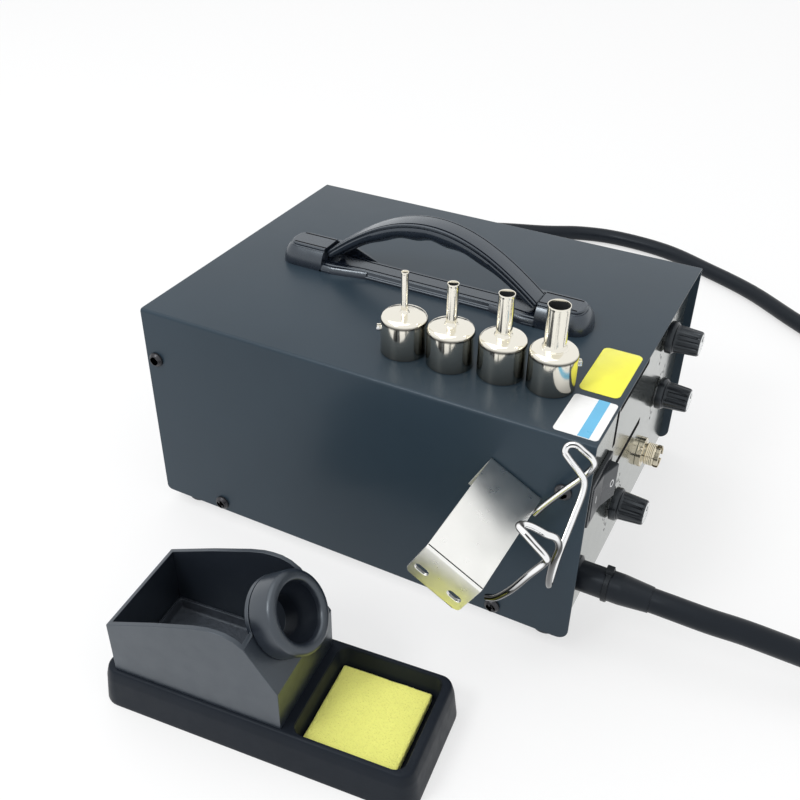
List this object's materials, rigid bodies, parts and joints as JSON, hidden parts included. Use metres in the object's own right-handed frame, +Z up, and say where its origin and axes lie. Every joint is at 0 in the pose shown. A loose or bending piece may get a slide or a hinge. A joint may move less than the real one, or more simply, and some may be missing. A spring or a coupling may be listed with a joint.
{
  "type": "hot air rework station",
  "caption": "Bench hot air rework station with carry handle, hose and handpiece, side holder, spare nozzles and a separate iron stand with sponge.",
  "frame": {"origin": "centre of the housing's outline, on the bench top", "axes": "+X right along the front panel as the user sees it, +Y from the front panel to the rear panel, +Z up"},
  "size_m": [0.5893, 0.5568, 0.169],
  "materials": {
    "cover_paint": "semi-gloss charcoal powder coat",
    "zinc_sheet": "zinc plated sheet",
    "panel_sheet": "grey painted sheet",
    "overlay_gloss": "glossy silver grey overlay",
    "foot_rubber": "black rubber",
    "zinc_screws": "bright zinc",
    "black_screws": "black oxide",
    "handle_plastic": "fine grained black moulding",
    "label_yellow": "yellow film",
    "label_white": "white film with a pale blue band",
    "pot_metal": "stamped can",
    "knob_black": "satin black",
    "cap_silver": "spun silver",
    "switch_black": "semi-gloss black",
    "rocker_grey": "semi-gloss dark grey with white marks",
    "socket_plating": "nickel over brass",
    "boot_rubber": "black moulded rubber",
    "tie_nylon": "black nylon",
    "hose_rubber": "semi-gloss black hose",
    "core_iron": "varnished laminations",
    "winding_copper": "enamelled copper wire",
    "pump_plastic": "grey moulding",
    "pump_metal": "stamped arm",
    "diaphragm_rubber": "rubber",
    "board_green": "green solder mask",
    "clear_tube": "milky silicone",
    "holder_chrome": "mirror chrome",
    "nozzle_nickel": "bright nickel",
    "stand_plastic": "fine grained charcoal moulding",
    "funnel_rubber": "satin black rubber",
    "sponge_yellow": "cellulose sponge",
    "handpiece_plastic": "fine grained black moulding",
    "barrel_steel": "drawn steel",
    "heater_ceramic": "ceramic"
  },
  "bodies": {
    "station": {"base_pan": "zinc_sheet", "front_panel": "panel_sheet", "front_overlay": "overlay_gloss", "rear_panel": "panel_sheet", "cover_hood": "cover_paint", "feet": "foot_rubber", "foot_screws": "zinc_screws", "cover_screws": "black_screws", "handle_base": "handle_plastic", "handle_grip": "handle_plastic", "handle_screws": "zinc_screws", "yellow_label": "label_yellow", "white_label": "label_white", "potentiometers": "pot_metal", "rocker_frame": "switch_black", "socket_barrel": "socket_plating", "socket_insert": "switch_black", "socket_nut": "socket_plating", "hose_boot": "boot_rubber", "hose_tie": "tie_nylon", "hose": "hose_rubber", "transformer_core": "core_iron", "transformer_coil": "winding_copper", "transformer_screws": "zinc_screws", "pump_case": "pump_plastic", "pump_coil": "winding_copper", "pump_diaphragm": "diaphragm_rubber", "pump_mounts": "foot_rubber", "control_board": "board_green", "board_standoffs": "zinc_screws", "mains_inlet": "switch_black", "air_tube": "clear_tube", "holder_plate": "holder_chrome", "holder_wire": "holder_chrome", "holder_screws": "zinc_screws", "handpiece_shell_left": "handpiece_plastic", "handpiece_shell_right": "handpiece_plastic", "handpiece_barrel": "barrel_steel", "handpiece_heater": "heater_ceramic", "handpiece_boot": "boot_rubber"},
    "upper_control": {"upper_knob": "knob_black", "upper_knob_cap": "cap_silver", "upper_knob_shaft": "zinc_screws"},
    "middle_control": {"middle_knob": "knob_black", "middle_knob_cap": "cap_silver", "middle_knob_shaft": "zinc_screws"},
    "lower_control": {"lower_knob": "knob_black", "lower_knob_cap": "cap_silver", "lower_knob_shaft": "zinc_screws"},
    "rocker": {"rocker_paddle": "rocker_grey"},
    "arm": {"pump_arm": "pump_metal"},
    "spare_nozzle_1": {"nozzle_1": "nozzle_nickel"},
    "spare_nozzle_2": {"nozzle_2": "nozzle_nickel"},
    "spare_nozzle_3": {"nozzle_3": "nozzle_nickel"},
    "spare_nozzle_4": {"nozzle_4": "nozzle_nickel"},
    "stand": {"stand_base": "stand_plastic", "stand_hood": "stand_plastic", "stand_funnel": "funnel_rubber"},
    "sponge": {"stand_sponge": "sponge_yellow"}
  },
  "joints": [
    {"name": "upper_knob_turn", "type": "hinge", "parent": "station", "child": "upper_control", "pos_m": [0.05, -0.1275, 0.104], "axis": [0, -1, 0], "range_deg": [-150, 150]},
    {"name": "middle_knob_turn", "type": "hinge", "parent": "station", "child": "middle_control", "pos_m": [0.052, -0.1275, 0.066], "axis": [0, -1, 0], "range_deg": [-150, 150]},
    {"name": "lower_knob_turn", "type": "hinge", "parent": "station", "child": "lower_control", "pos_m": [-0.02, -0.1275, 0.039], "axis": [0, -1, 0], "range_deg": [-150, 150]},
    {"name": "power_switch_rock", "type": "hinge", "parent": "station", "child": "rocker", "pos_m": [-0.0627, -0.1155, 0.0802], "axis": [0, 0, 1], "range_deg": [0, 20]},
    {"name": "pump_arm_swing", "type": "hinge", "parent": "station", "child": "arm", "pos_m": [-0.0555, 0.052, 0.0247], "axis": [0, 1, 0], "range_deg": [-1.2, 1.2], "stiffness_Nm_per_rad": 3},
    {"name": "nozzle_1_lift", "type": "slide", "parent": "station", "child": "spare_nozzle_1", "axis": [0, 0, 1], "range_m": [0, 0.06]},
    {"name": "nozzle_2_lift", "type": "slide", "parent": "station", "child": "spare_nozzle_2", "axis": [0, 0, 1], "range_m": [0, 0.06]},
    {"name": "nozzle_3_lift", "type": "slide", "parent": "station", "child": "spare_nozzle_3", "axis": [0, 0, 1], "range_m": [0, 0.06]},
    {"name": "nozzle_4_lift", "type": "slide", "parent": "station", "child": "spare_nozzle_4", "axis": [0, 0, 1], "range_m": [0, 0.06]},
    {"name": "stand_lift", "type": "slide", "parent": "station", "child": "stand", "axis": [-0.5974, -0.0558, 0.8], "range_m": [0, 0.1]},
    {"name": "sponge_lift", "type": "slide", "parent": "stand", "child": "sponge", "axis": [0, 0, 1], "range_m": [0, 0.034]}
  ]
}
